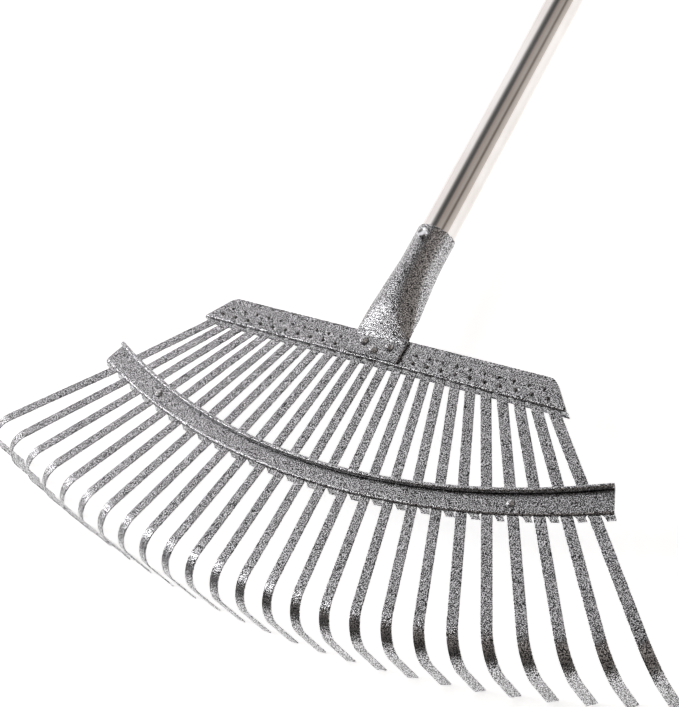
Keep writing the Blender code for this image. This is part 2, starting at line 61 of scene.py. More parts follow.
# %% From the head's millimetres to the scene
MM = 0.001
HEAD_TOP = np.array([78.0, 6.5, 2.0])       # the record's flat place, in the head's frame
mount = {m["name"]: m for m in frame["record"]["mounts"]}["head_top"]
GROUND_SLOPE = math.atan2(mount["axis"][1], mount["axis"][2])
cosine, sine = math.cos(GROUND_SLOPE), math.sin(GROUND_SLOPE)
TILT = np.array([[1.0, 0.0, 0.0], [0.0, cosine, sine], [0.0, -sine, cosine]])
SHIFT = np.array(mount["pos_m"]) - TILT @ HEAD_TOP * MM


def in_scene(points):
    """Turn head-frame millimetres into scene metres: tilt about X, scale, then shift."""
    return np.asarray(points, float) @ TILT.T * MM + SHIFT


print("ground slope", round(math.degrees(GROUND_SLOPE), 3), "degrees")

# %% [markdown]
# ## Surfaces from two parameters
# A sheet, a bar or a turned body is a grid of points: rows run along it and columns run round
# it. The same small function joins neighbours into quads, whichever way the grid wraps. Flat
# ends are closed by one face each, and a pole is a row whose points fall together and merge.

# %% Grids into meshes
def grid_quads(rows, columns, wrap_rows=False, wrap_columns=False):
    """Quads of a grid: each point with its neighbours in the next row and the next column."""
    index = np.arange(rows * columns).reshape(rows, columns)
    if wrap_rows:
        index = np.vstack([index, index[:1]])
    if wrap_columns:
        index = np.hstack([index, index[:, :1]])
    corners = (index[:-1, :-1], index[1:, :-1], index[1:, 1:], index[:-1, 1:])
    return np.stack(corners, axis=-1).reshape(-1, 4)


def enclosed_volume(mesh):
    """Sum over triangles of a . (b x c) / 6, which is negative if the faces point inwards."""
    mesh.calc_loop_triangles()
    corners = np.empty(len(mesh.loop_triangles) * 3, np.int32)
    mesh.loop_triangles.foreach_get("vertices", corners)
    points = np.empty(len(mesh.vertices) * 3)
    mesh.vertices.foreach_get("co", points)
    a, b, c = np.moveaxis(points.reshape(-1, 3)[corners.reshape(-1, 3)], 1, 0)
    return float(np.einsum("ij,ij->i", a, np.cross(b, c)).sum() / 6)


def tidy_mesh(mesh, crease=35.0):
    """Merge points that fall together, turn the faces outwards and shade all but creases smooth."""
    bm = bmesh.new()
    bm.from_mesh(mesh)
    bmesh.ops.remove_doubles(bm, verts=bm.verts, dist=2e-6)
    bm.to_mesh(mesh)
    bm.free()
    if enclosed_volume(mesh) < 0:
        mesh.flip_normals()
    mesh.shade_smooth()
    mesh.set_sharp_from_angle(angle=math.radians(crease))


def make_piece(name, points, quads, caps=(), crease=35.0):
    """An object from head-frame points in rows and columns, its quads and its flat end faces."""
    mesh = bpy.data.meshes.new(name)
    mesh.from_pydata(in_scene(points.reshape(-1, 3)).tolist(), [], [*quads.tolist(), *caps])
    tidy_mesh(mesh, crease)
    piece = bpy.data.objects.new(name, mesh)
    bpy.context.scene.collection.objects.link(piece)
    return piece


def loft(name, loops, wrap=False, crease=35.0):
    """A body through closed loops: quads between them, and a face on each end unless they wrap."""
    rows, columns = loops.shape[:2]
    quads = grid_quads(rows, columns, wrap_rows=wrap, wrap_columns=True)
    last = np.arange((rows - 1) * columns, rows * columns)[::-1].tolist()
    caps = () if wrap else (list(range(columns)), last)
    return make_piece(name, loops, quads, caps, crease)


def settle(piece, crease=35.0):
    """Make the modifiers' result the piece's own mesh."""
    graph = bpy.context.evaluated_depsgraph_get()
    mesh = bpy.data.meshes.new_from_object(piece.evaluated_get(graph))
    piece.modifiers.clear()
    piece.data = mesh
    tidy_mesh(mesh, crease)
    return piece


def carve(piece, *cutters, crease=35.0):
    """Cut a piece with cutters, which are then thrown away."""
    for cutter in cutters:
        boolean = piece.modifiers.new("cut", "BOOLEAN")
        boolean.object = cutter
        boolean.solver = "EXACT"
    settle(piece, crease)
    for cutter in cutters:
        bpy.data.objects.remove(cutter, do_unlink=True)
    return piece


def join_pieces(name, pieces):
    """Several separate bodies in one object."""
    bm = bmesh.new()
    for piece in pieces:
        bm.from_mesh(piece.data)
        bpy.data.objects.remove(piece, do_unlink=True)
    mesh = bpy.data.meshes.new(name)
    bm.to_mesh(mesh)
    bm.free()
    joined = bpy.data.objects.new(name, mesh)
    bpy.context.scene.collection.objects.link(joined)
    return joined


finished = []


def stand_for(piece, finish, slot, *nodes):
    """Give a piece its finish, let it ride on the rake and stand for its workshop solids."""
    piece.data.materials.clear()
    piece.data.materials.append(finish)
    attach(piece, "root")
    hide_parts(*nodes)
    finished.append(piece)
    return piece

# %% [markdown]
# ## Curves that come back often
# Pressed sheet never changes its shape in a step: it eases from one size to the next. And
# every fold or rolled edge is a piece of an arc. Both are one-line formulas on whole arrays.

# %% Easing and arcs
def ease(value):
    """0 below 0, 1 above 1, and 3 v^2 - 2 v^3 between."""
    value = np.clip(value, 0.0, 1.0)
    return value * value * (3.0 - 2.0 * value)


def arc(centre, radius, start, end, steps):
    """Points centre + radius (cos a, sin a) for angles from start to end in degrees."""
    angles = np.radians(np.linspace(start, end, steps + 1))
    return np.stack([centre[0] + radius * np.cos(angles), centre[1] + radius * np.sin(angles)], -1)


def spin(profile, sides):
    """A turned body about Z: each (radius, height) goes round in equal steps."""
    angles = 2 * np.pi * np.arange(sides) / sides
    radius, height = np.asarray(profile, float).T
    return np.stack([np.outer(radius, np.cos(angles)), np.outer(radius, np.sin(angles)),
                     np.repeat(height[:, None], sides, 1)], -1)


def stand_on(points, place, lean=0.0):
    """Lean local points about X by an angle, and move their origin to a place."""
    x, y, z = np.moveaxis(points, -1, 0)
    turned = np.stack([x, y * np.cos(lean) - z * np.sin(lean), y * np.sin(lean) + z * np.cos(lean)], -1)
    return turned + np.asarray(place, float)


def peg(name, radius, low, high, place, lean=0.0, sides=32):
    """A round cutter from low to high."""
    profile = [(radius, low), (radius, high)]
    return loft(name, stand_on(spin(profile, sides), place, lean))

# %% [markdown]
# ## Shader maths as Python
# A hammered lacquer is a few noises compared, mixed and bent. Written as nodes that is a long
# list of links. This small class wraps a socket, so that `grain * 0.5 + 0.2` adds the Math
# nodes by itself. One more method makes every other kind of node.

# %% A socket that understands + - * /
class Socket:
    """An output socket of a finish. Arithmetic on it adds Math nodes."""

    def __init__(self, tree, output):
        self.tree = tree
        self.output = output

    def node(self, kind, settings, inputs, out=0):
        """Add a node: its settings first, then values or links for its sockets."""
        made = self.tree.nodes.new(kind)
        for name, value in settings.items():
            if name == "stops":
                set_stops(made.color_ramp, value)
            else:
                setattr(made, name, value)
        for name, value in inputs.items():
            if isinstance(value, Socket):
                self.tree.links.new(value.output, made.inputs[name])
            else:
                made.inputs[name].default_value = value
        return Socket(self.tree, made.outputs[out])

    def maths(self, operation, first, second=0.0):
        return self.node("ShaderNodeMath", {"operation": operation}, {0: first, 1: second})

    def __add__(self, other):
        return self.maths("ADD", self, other)

    def __sub__(self, other):
        return self.maths("SUBTRACT", self, other)

    def __rsub__(self, other):
        return self.maths("SUBTRACT", other, self)

    def __mul__(self, other):
        return self.maths("MULTIPLY", self, other)

    __radd__, __rmul__ = __add__, __mul__

    def ramp(self, *stops):
        """A smooth ramp of grey values or colours over this value."""
        return self.node("ShaderNodeValToRGB", {"stops": stops}, {"Fac": self})

    def noise(self, size, detail=2.0, roughness=0.5, stretch=(1.0, 1.0, 1.0)):
        """Noise whose grains are about size metres across. Read on coordinates."""
        scaled = self.node("ShaderNodeVectorMath", {"operation": "MULTIPLY"},
                           {0: self, 1: tuple(part / size for part in stretch)})
        return self.node("ShaderNodeTexNoise", {}, {"Vector": scaled, "Scale": 1.0, "Detail": detail,
                                                    "Roughness": roughness})


def set_stops(ramp, stops):
    """Fill a colour ramp with (place, value) stops, where a value is a grey or a colour."""
    while len(ramp.elements) < len(stops):
        ramp.elements.new(0.5)
    for element, (place, value) in zip(ramp.elements, stops):
        colour = (value, value, value) if isinstance(value, float) else value
        element.position = place
        element.color = (*colour, 1.0)


def new_finish(name):
    """An empty material: its shader node and the object coordinates that its patterns read."""
    material = bpy.data.materials.new(name)
    material.use_nodes = True
    tree = material.node_tree
    shader = tree.nodes["Principled BSDF"]
    coordinates = tree.nodes.new("ShaderNodeTexCoord")
    return material, shader, Socket(tree, coordinates.outputs["Object"])


def feed(shader, **inputs):
    """Set or link the shader's sockets. base_color stands for Base Color, and so on."""
    for name, value in inputs.items():
        socket = shader.inputs[name.replace("_", " ").title()]
        if isinstance(value, Socket):
            value.tree.links.new(value.output, socket)
        else:
            socket.default_value = value


def relief(height, depth, strength=1.0):
    """A bump from a height of 0 to 1, as deep as depth metres."""
    return height.node("ShaderNodeBump", {}, {"Height": height, "Distance": depth,
                                              "Strength": strength})

# %% [markdown]
# ## Hammered lacquer
# The tines, plates and brace share one finish: a silver lacquer that draws itself into
# millimetre cells as it dries, bright where it is thick and almost black between them. It could
# be painted, but a fine noise makes it at any distance and on any shape, and a broad second
# noise varies it gently. The cells also stand up a little, which makes the sparkle on every
# bend. The rivets get a lighter and finer mix, so that their small domes stand out.

# %% Mix the hammered lacquer
def hammered_lacquer(name, light, dark, grain):
    """Silver cells on a dark ground: a sharpened noise picks light or dark at each place."""
    material, shader, place = new_finish(name)
    cells = place.noise(grain * MM, detail=1.0, roughness=0.5)
    drift = place.noise(60 * MM, detail=2.0)
    height = cells + (drift - 0.5) * 0.03
    mask = height.ramp((0.488, 0.0), (0.520, 1.0))
    colour = mask.ramp((0.0, dark), (1.0, light))
    feed(shader, base_color=colour, metallic=mask * 0.6 + 0.38, roughness=0.32 - mask * 0.14,
         normal=relief(height, 0.35 * MM, 0.6))
    shader.inputs["Coat Weight"].default_value = 0.05
    shader.inputs["Coat Roughness"].default_value = 0.12
    return material


TINE_LACQUER = hammered_lacquer("tine_lacquer", (0.80, 0.80, 0.82), (0.004, 0.004, 0.005), 0.66)
HEAD_LACQUER = hammered_lacquer("head_lacquer", (0.80, 0.80, 0.82), (0.004, 0.004, 0.005), 0.62)
RIVET_LACQUER = hammered_lacquer("rivet_lacquer", (0.95, 0.95, 0.96), (0.10, 0.10, 0.11), 0.60)
print("lacquers:", TINE_LACQUER.name, HEAD_LACQUER.name, RIVET_LACQUER.name)

# %% [markdown]
# ## Polished tube, zinc and moulded plastic
# The handle is a bright steel tube, drawn and polished along its length, so its faint marks
# are long and thin. The bolt is zinc plated: bright, a little cloudy and bluish. The grip is a
# black moulding with a fine spark-eroded grain. Each is one noise or two on the shader's
# colour, roughness and bump.

# %% Mix the metals and the plastic
AXIS_RISE = math.radians(3.55)              # the handle's slope over the fan


def polished_steel():
    """Bright steel with long polishing marks and a few dull places."""
    material, shader, place = new_finish("polished_steel")
    lined = place.node("ShaderNodeMapping", {"vector_type": "POINT"},
                       {"Vector": place, "Rotation": (GROUND_SLOPE - AXIS_RISE, 0.0, 0.0)})
    marks = lined.noise(0.5 * MM, detail=3.0, stretch=(1.0, 0.012, 1.0))
    dull = lined.noise(26 * MM, detail=4.0, roughness=0.6, stretch=(1.0, 0.5, 1.0))
    colour = dull.ramp((0.35, (0.80, 0.765, 0.74)), (0.68, (0.90, 0.875, 0.86)))
    feed(shader, base_color=colour, roughness=dull * 0.10 + marks * 0.08 + 0.06,
         normal=relief(marks, 0.004 * MM, 0.5))
    shader.inputs["Metallic"].default_value = 1.0
    return material


def bright_zinc():
    """Zinc plate: cloudy, slightly blue, with soft pits."""
    material, shader, place = new_finish("bright_zinc")
    cloud = place.noise(1.6 * MM, detail=3.0)
    colour = cloud.ramp((0.3, (0.70, 0.72, 0.76)), (0.7, (0.90, 0.91, 0.93)))
    feed(shader, base_color=colour, roughness=cloud * 0.2 + 0.14, normal=relief(cloud, 0.05 * MM, 0.5))
    shader.inputs["Metallic"].default_value = 1.0
    return material


def moulded_black():
    """Black plastic with a fine even grain, paler where hands have rubbed it."""
    material, shader, place = new_finish("moulded_black")
    grain = place.noise(0.6 * MM, detail=2.0)
    rubbed = place.noise(22 * MM, detail=3.0)
    colour = rubbed.ramp((0.35, (0.014, 0.014, 0.015)), (0.75, (0.045, 0.045, 0.047)))
    feed(shader, base_color=colour, roughness=rubbed * 0.2 + grain * 0.15 + 0.35,
         normal=relief(grain, 0.06 * MM, 0.6))
    return material


POLISHED_STEEL, BRIGHT_ZINC, MOULDED_BLACK = polished_steel(), bright_zinc(), moulded_black()

# %% [markdown]
# ## The fan
# The fan opens by 3.6 degrees a tine. Towards its sides the roots spread a little, the tines
# turn a little more and reach a little further, so that all the tips still meet the ground.
# Three formulas of the tine's number, counted from the middle, hold all of this.

# %% Where each tine goes
TINES_A_SIDE = 12
BRACE_RADIUS = 495.0
BRACE_CENTRE = 414.0                        # behind the head's edge
HOOK_RADIUS, HOOK_ANGLE, TIP_LENGTH = 19.9, math.radians(93.1), 28.0


def fan_place(index):
    """Root across the head, turn and reach of tine number index, as sums of its powers."""
    share = index / TINES_A_SIDE
    turn = math.radians(3.6 * index + 1.3 * share ** 7)
    return 10.82 * index + 5.7 * share ** 3, turn, 160.3 + 7.5 * share ** 2


def on_tine(index, points):
    """Turn points of a tine's own frame about its root and move them to it."""
    root_x, turn, _ = fan_place(index)
    x, y, z = np.moveaxis(np.asarray(points, float), -1, 0)
    return np.stack([root_x + x * math.cos(turn) - y * math.sin(turn),
                     x * math.sin(turn) + y * math.cos(turn), z], -1)


def crossing(index, radius):
    """How far along its length a tine crosses a circle about the brace's centre."""
    root_x, turn, _ = fan_place(index)
    half = root_x * math.sin(turn) + BRACE_CENTRE * math.cos(turn)
    return -half + math.sqrt(half ** 2 - root_x ** 2 - BRACE_CENTRE ** 2 + radius ** 2)


def tip_reach(index):
    """How far in front of the head a tip is, along Y."""
    _, turn, reach = fan_place(index)
    hook = HOOK_RADIUS * math.sin(HOOK_ANGLE) + TIP_LENGTH * math.cos(HOOK_ANGLE)
    return (reach + hook) * math.cos(turn)

# %% [markdown]
# ## Sprung tines
# A tine is a strip of spring steel, 7 mm wide and 1 mm thick, with edges rounded by the rolls.
# It runs flat to the brace, climbs very slightly, and then turns down through a hook to a
# straight tip. A box bent by a modifier would smear its ends, so the strip's rounded section
# is carried along the line instead: every point is the line's point plus the section's
# height along the line's normal, and its width along X.

# %% Carry a rounded strip along its line
STRIP_HALF, STRIP_THICK, STRIP_ROUND = 3.55, 0.5, 0.38


def strip_section():
    """A rounded bar: four quarter arcs with a support point beside each end of the flats."""
    flat, wall = STRIP_HALF - STRIP_ROUND, STRIP_THICK - STRIP_ROUND
    corners = [arc((side * flat, up * wall), STRIP_ROUND, start, start + 90, 4)
               for side, up, start in ((1, -1, -90), (1, 1, 0), (-1, 1, 90), (-1, -1, 180))]
    support = flat - 0.25
    return np.vstack([corners[0], corners[1], [(support, STRIP_THICK), (-support, STRIP_THICK)],
                      corners[2], corners[3], [(-support, -STRIP_THICK), (support, -STRIP_THICK)]])


def tine_line(index):
    """The line's (y, z) and its heading: flat, climbing, round the hook, and down the tip."""
    reach = fan_place(index)[2]
    bend = crossing(index, BRACE_RADIUS + 18)
    rise = math.tan(GROUND_SLOPE) * (tip_reach(0) - tip_reach(index))
    pitch = math.atan2(rise, reach - bend)
    turns = np.linspace(-pitch, HOOK_ANGLE, 30)
    hook = np.stack([-reach - HOOK_RADIUS * np.sin(turns),
                     rise - HOOK_RADIUS * (1 - np.cos(turns))], -1)
    along = np.array([0.0, 9.0, 18.0, 27.0, TIP_LENGTH - 0.18, TIP_LENGTH])[1:, None]
    tip = hook[-1] - along * np.array([math.cos(HOOK_ANGLE), math.sin(HOOK_ANGLE)])
    flat = np.stack([np.linspace(14.0, -bend, 7), np.zeros(7)], -1)
    climb = flat[-1] + np.linspace(0, 1, 6)[1:-1, None] * (hook[0] - flat[-1])
    heading = np.concatenate([np.zeros(7), np.full(4, -pitch), turns, np.full(5, HOOK_ANGLE)])
    return np.vstack([flat, climb, hook, tip]), heading


def sprung_tine(index):
    """Point = line + height (-sin h, cos h) with the heading h, and width along X."""
    line, heading = tine_line(index)
    section = strip_section()
    shrink = np.zeros(len(line))
    shrink[-1] = 0.18
    width = section[:, 0] * (1 - shrink[:, None] / STRIP_HALF)
    height = section[:, 1] * (1 - shrink[:, None] / STRIP_THICK)
    y = line[:, :1] - height * np.sin(heading)[:, None]
    z = line[:, 1:] + height * np.cos(heading)[:, None]
    name = f"sprung_tine_{index + TINES_A_SIDE + 1:02d}"
    return loft(name, on_tine(index, np.stack([width, y, z], -1)))


tines = {index: sprung_tine(index) for index in range(-TINES_A_SIDE, TINES_A_SIDE + 1)}
print("tines:", len(tines), "faces each:", len(tines[0].data.polygons))

# %% [markdown]
# ## Rivet places
# Three domed rivets clamp the socket to the plates, through the roots of the three middle
# tines. Two small ones hold the brace to the fourth tine from each side. Their places are
# needed now, because every sheet that they pass through gets its hole from the same numbers.

# %% Rivet places and their holes
RIVET_AT = [on_tine(-1, (0.0, 9.6, 0.0)), np.array([0.0, 4.8, 0.0]), on_tine(1, (0.0, 9.6, 0.0))]
BRACE_TINE = 9
BRACE_RIVET_AT = {side: on_tine(side * BRACE_TINE, (0.0, -crossing(side * BRACE_TINE, 502.2), 0.0))
                  for side in (-1, 1)}


def head_rivet_holes():
    return [peg("rivet_hole", 2.2, -9.0, 9.0, place) for place in RIVET_AT]


for index in (-1, 0, 1):
    carve(tines[index], *head_rivet_holes())
for side in (-1, 1):
    carve(tines[side * BRACE_TINE], peg("rivet_hole", 1.9, -5.0, 5.0, BRACE_RIVET_AT[side]))
for index, tine in tines.items():
    stand_for(tine, TINE_LACQUER, "hammertone_tine", f"tine_{index + TINES_A_SIDE + 1:02d}")

# %% [markdown]
# ## Head plate
# The upper sheet lies over the roots, folds down in front of them, and ends in a small lip.
# It is wider at its front, with rounded rear corners. As a surface, one parameter follows
# the sheet from its rear edge round the fold to the lip, and the other runs across, stretched
# by the half width at that depth. Solidify gives it 1.2 mm, and cutters open a slot for each
# tine and the two rows of punch marks that clinch the roots.

# %% Press the head plate
PLATE_Z, SHEET, FOLD, DEPTH = 1.4, 1.2, 1.2, 18.0
HALF_FRONT, HALF_REAR, CORNER = 145.5, 130.0, 4.0
PUNCH_ROWS = ((3.4, 1.35), (9.2, 1.05))     # place behind the edge, and radius
SLOT_HALF, SLOT_THICK = 3.95, 0.78


def half_width(y):
    """Straight slanting sides, less a quarter circle's bite near the rear edge."""
    side = HALF_FRONT + (HALF_REAR - HALF_FRONT) * y / DEPTH
    into = np.clip((y - (DEPTH - CORNER)) / CORNER, 0.0, 1.0)
    return side - CORNER * (1 - np.sqrt(1 - into ** 2)) * 0.8


def plate_line(front):
    """The sheet's (y, z) line: closely spaced at the rear corners, then flat to its front."""
    rear = DEPTH - CORNER * (1 - np.cos(np.linspace(0, math.pi / 2, 9)))
    return np.stack([np.concatenate([rear, np.linspace(13, front, 8)]), np.full(17, PLATE_Z)], -1)


def plate_sheet(name, line, across=97):
    """Point = (u half_width(y), y, z) for u from -1 to 1, thickened by half the sheet each way."""
    u = np.linspace(-1, 1, across)
    y, z = line.T
    grid = np.stack([half_width(y)[:, None] * u, np.repeat(y[:, None], across, 1),
                     np.repeat(z[:, None], across, 1)], -1)
    plate = make_piece(name, grid, grid_quads(len(line), across))
    solid = plate.modifiers.new("sheet", "SOLIDIFY")
    solid.thickness, solid.offset, solid.use_even_offset = SHEET * MM, 0.0, True
    soften = plate.modifiers.new("worn_edges", "BEVEL")
    soften.width, soften.segments, soften.limit_method = 0.22 * MM, 2, "ANGLE"
    soften.angle_limit = math.radians(50)
    return settle(plate)


def punch(index, back, radius):
    """A cutter for one punch mark, with a drawn-in mouth, on a tine's line."""
    profile = [(radius * 0.8, -0.2), (radius * 0.86, 1.6), (radius * 1.05, 1.86), (radius * 1.25, 2.02),
               (radius * 1.3, 2.4)]
    place = on_tine(index, (0.0, back / math.cos(fan_place(index)[1]), 0.0))
    return loft("punch", stand_on(spin(profile, 14), place))


def tine_slot(index):
    """A cutter for the slot round one tine: a rounded bar through the flange."""
    section = strip_section() * np.array([SLOT_HALF / STRIP_HALF, SLOT_THICK / STRIP_THICK])
    ends = np.array([-10.0, 6.0])[:, None] * np.ones(len(section))
    box = np.stack([np.tile(section[:, 0], (2, 1)), ends, np.tile(section[:, 1], (2, 1))], -1)
    return loft("slot", on_tine(index, box))


flange = [*arc((0.0, PLATE_Z - FOLD), FOLD, 90, 180, 8), (-FOLD, -2.4), (-FOLD, -3.8),
          (-FOLD - 0.15, -4.15), (-FOLD - 0.5, -4.5), (-FOLD - 1.4, -4.9)]
head_plate = plate_sheet("pressed_head_plate", np.vstack([plate_line(0.6), flange]))
every = range(-TINES_A_SIDE, TINES_A_SIDE + 1)
slots = join_pieces("slots", [tine_slot(index) for index in every])
marks = join_pieces("marks", [punch(index, back, radius) for index in every if abs(index) > 1
                              for back, radius in PUNCH_ROWS])
carve(head_plate, slots, marks, *head_rivet_holes())
stand_for(head_plate, HEAD_LACQUER, "hammertone_head", "head_plate")
print("head plate faces:", len(head_plate.data.polygons))

# %% [markdown]
# ## Clamp plate
# The lower sheet is the same outline, flat, pressed up against the roots from below. The same
# function makes it, with a line that stops at the fold.

# %% Cut the clamp plate
clamp_line = plate_line(-0.3) * np.array([1.0, -1.0])
clamp_plate = plate_sheet("lower_clamp_plate", clamp_line)
carve(clamp_plate, *head_rivet_holes())
stand_for(clamp_plate, HEAD_LACQUER, "hammertone_head", "clamp_plate")

# %% [markdown]
# ## Socket
# The socket starts as a round tube. Its front end is pressed flat into a tongue that lies on
# the head plate, and the swelling between them ends in a half moon. A subdivided cage could
# be pulled into that shape by eye, but here each section is a superellipse: its width, its
# two half heights and its squareness are eased functions of the distance behind the head's
# edge. The walls run outside, over the rounded rim, and back inside.

# %% Loft the socket
TONGUE_Z, TONGUE_HALF, TONGUE_WIDTH = 3.35, 0.95, 21.0
SOCKET_RADIUS, SOCKET_WALL, SOCKET_END, SOCKET_FLAT = 13.35, 0.7, 96.5, 18.0
MID_HEIGHT = 9.4


def socket_axis(back):
    """The middle line's height and lean at a distance behind the edge: flat, then rising."""
    lean = AXIS_RISE * ease((back - SOCKET_FLAT) / 30.0)
    return TONGUE_Z + math.tan(AXIS_RISE) * np.maximum(back - SOCKET_FLAT, 0.0), lean


def swelling(back, nose, length):
    """Half the height: the body times (sin of a quarter turn)^1.5, never under the tongue's."""
    body = MID_HEIGHT + (SOCKET_RADIUS - MID_HEIGHT) * ease((back - 26.0) / 36.0)
    run = np.clip((back - nose) / length, 0.0, 1.0)
    return np.maximum(body * np.sin(np.pi / 2 * run) ** 1.5, TONGUE_HALF)


def socket_loops(back, inset, sides=96):
    """Superellipse sections: x = w sgn(cos)|cos|^(2/n), z = h sgn(sin)|sin|^(2/n)."""
    angles = 2 * np.pi * np.arange(sides) / sides
    wide = SOCKET_RADIUS + (TONGUE_WIDTH - SOCKET_RADIUS) * ease((78.0 - back) / 64.0)
    power = 2 / (2.05 + 7.0 * ease((17.5 - back) / 5.0))[:, None]
    above, below = swelling(back, 10.0, 27.0), swelling(back, 19.5, 18.0)
    up = np.sin(angles) > 0
    high = np.where(up, above[:, None], below[:, None]) - inset[:, None]
    x = (wide - inset)[:, None] * np.sign(np.cos(angles)) * np.abs(np.cos(angles)) ** power
    h = high * np.sign(np.sin(angles)) * np.abs(np.sin(angles)) ** power
    middle, lean = socket_axis(back)
    return np.stack([x, back[:, None] - h * np.sin(lean)[:, None],
                     middle[:, None] + h * np.cos(lean)[:, None]], -1)


half_wall = SOCKET_WALL / 2
stations = np.concatenate([np.linspace(half_wall, 12.5, 6), np.linspace(13.2, 30, 36),
                           np.linspace(32, SOCKET_END - half_wall, 34)])
rim = np.linspace(0, math.pi, 7)[1:-1]
back = np.concatenate([stations, SOCKET_END - half_wall + half_wall * np.sin(rim), stations[::-1],
                       half_wall - half_wall * np.sin(rim)])
inset = np.concatenate([np.zeros(len(stations)), half_wall * (1 - np.cos(rim)),
                        np.full(len(stations), SOCKET_WALL), half_wall * (1 + np.cos(rim))])
BOLT_BACK = 88.5
bolt_z, bolt_lean = socket_axis(np.array(BOLT_BACK))
BOLT_AT = np.array([0.0, BOLT_BACK, float(bolt_z)])
bolt_lean = float(bolt_lean)
socket = loft("pressed_socket", socket_loops(back, inset), wrap=True)
carve(socket, *head_rivet_holes(), peg("bolt_hole", 2.3, -20.0, 20.0, BOLT_AT, bolt_lean))
stand_for(socket, HEAD_LACQUER, "hammertone_head", "handle_socket")
print("socket faces:", len(socket.data.polygons))

# %% [markdown]
# ## Rivets
# A rivet is a turned body: a dome above, a shank through the hole, and a flat closed head
# below. The profile runs from the top of the dome to the middle of the lower head, and both
# ends are poles that merge to a point.

# %% Turn the rivets
def rivet(name, place, radius, head, dome, high, low, foot):
    """Dome (head sin a, high + dome cos a), then the shank, then the closed head."""
    angles = np.linspace(0, math.pi / 2, 12)
    top = np.stack([head * np.sin(angles), high + dome * np.cos(angles)], -1)
    rest = [(head - 0.12, high - 0.05), (radius, high - 0.05), (radius, low), (head, low),
            (head, low - foot * 0.55), (head * 0.85, low - foot), (0.0, low - foot)]
    return make_piece(name, stand_on(spin(np.vstack([top, rest]), 40), place),
                      grid_quads(len(top) + len(rest), 40, wrap_columns=True))


for number, place in enumerate(RIVET_AT, start=1):
    stand_for(rivet(f"domed_rivet_{number}", place, 1.9, 3.2, 2.1, 4.65, -2.3, 1.3), RIVET_LACQUER,
              "hammertone_head", f"socket_rivet_{number}")
for side, word in ((-1, "left"), (1, "right")):
    small = rivet(f"small_rivet_{word}", BRACE_RIVET_AT[side], 1.6, 2.7, 1.1, 2.25, -0.8, 1.1)
    stand_for(small, RIVET_LACQUER, "hammertone_head", f"brace_rivet_{word}")

# %% [markdown]
# ## Bolt and nut
# A hexagon bolt goes through the socket and the tube. Turned with a radius that depends on
# the angle, a round profile becomes a hexagon: the flats are the nearer of six planes, and
# the chamfer is a cone that cuts the six corners. The head's top is dished.

# %% Turn the hexagons
HEX_FLAT = 3.5


def hexagon(heights, cone, inner, sides=96):
    """Radius = the smaller of flat / cos(angle to the nearest flat) and the cone's radius."""
    angles = 2 * np.pi * np.arange(sides) / sides
    hexed = HEX_FLAT / np.cos((angles + np.pi / 6) % (np.pi / 3) - np.pi / 6)
    outer = np.minimum(hexed, np.asarray(cone)[:, None])
    loops = np.stack([outer * np.cos(angles), outer * np.sin(angles),
                      np.repeat(np.asarray(heights, float)[:, None], sides, 1)], -1)
    return np.vstack([loops, spin(inner, sides)])


SEAT = SOCKET_RADIUS + 0.3
bolt_end = -SEAT - 3.2 - 1.5
head_loops = hexagon([SEAT, SEAT + 0.25, SEAT + 2.2, SEAT + 2.8], [3.6, 4.1, 4.1, 3.25],
                     [(2.6, SEAT + 2.8), (2.2, SEAT + 2.55), (1.2, SEAT + 2.3), (0.0, SEAT + 2.25)])
shank_loops = spin([(0.0, bolt_end), (1.5, bolt_end), (2.0, bolt_end + 0.5), (2.0, SEAT)], 96)
bolt_loops = stand_on(np.vstack([shank_loops, head_loops]), BOLT_AT, bolt_lean)
bolt_quads = grid_quads(len(bolt_loops), 96, wrap_columns=True)
bolt = make_piece("hexagon_bolt", bolt_loops, bolt_quads, crease=25.0)
stand_for(bolt, BRIGHT_ZINC, "zinc_hardware", "socket_bolt")
nut_loops = hexagon([-SEAT - 3.2, -SEAT - 2.7, -SEAT - 0.5, -SEAT], [3.4, 4.1, 4.1, 3.4],
                    [(2.6, -SEAT), (2.3, -SEAT - 0.4), (2.3, -SEAT - 2.8), (2.6, -SEAT - 3.2)])
nut = loft("hexagon_nut", stand_on(nut_loops, BOLT_AT, bolt_lean), wrap=True, crease=25.0)
stand_for(nut, BRIGHT_ZINC, "zinc_hardware", "socket_nut")

# %% [markdown]
# ## Handle tube and grip
# The handle is a thin polished tube. It begins inside the socket and ends in a moulded grip
# with shallow grooves and a hole to hang it by. Both are profiles turned about the handle's
# own line. The grip's grooves are a cosine of the distance along it, faded out at its ends.

# %% Turn the tube and the grip
TUBE_RADIUS, TUBE_WALL, TUBE_LENGTH, TUBE_BACK = 12.4, 1.2, 1230.0, 64.0
tube_z, _ = socket_axis(np.array(TUBE_BACK))
TUBE_AT = np.array([0.0, TUBE_BACK, float(tube_z)])
ALONG = AXIS_RISE - math.pi / 2             # turns Z to run along the handle


def on_handle(points):
    return stand_on(points, TUBE_AT, ALONG)


lengths = np.concatenate([[0.0, 0.4], np.linspace(10, TUBE_LENGTH - 10, 50),
                          [TUBE_LENGTH - 0.4, TUBE_LENGTH]])
outer = np.full(len(lengths), TUBE_RADIUS)
outer[[0, -1]] -= 0.3
inner = np.full(len(lengths), TUBE_RADIUS - TUBE_WALL)
walls = np.vstack([np.stack([outer, lengths], -1), np.stack([inner, lengths], -1)[::-1]])
tube = loft("polished_tube", on_handle(spin(walls, 128)), wrap=True)
carve(tube, peg("bolt_hole", 2.3, -20.0, 20.0, BOLT_AT, bolt_lean))
stand_for(tube, POLISHED_STEEL, "polished_tube", "handle_tube")

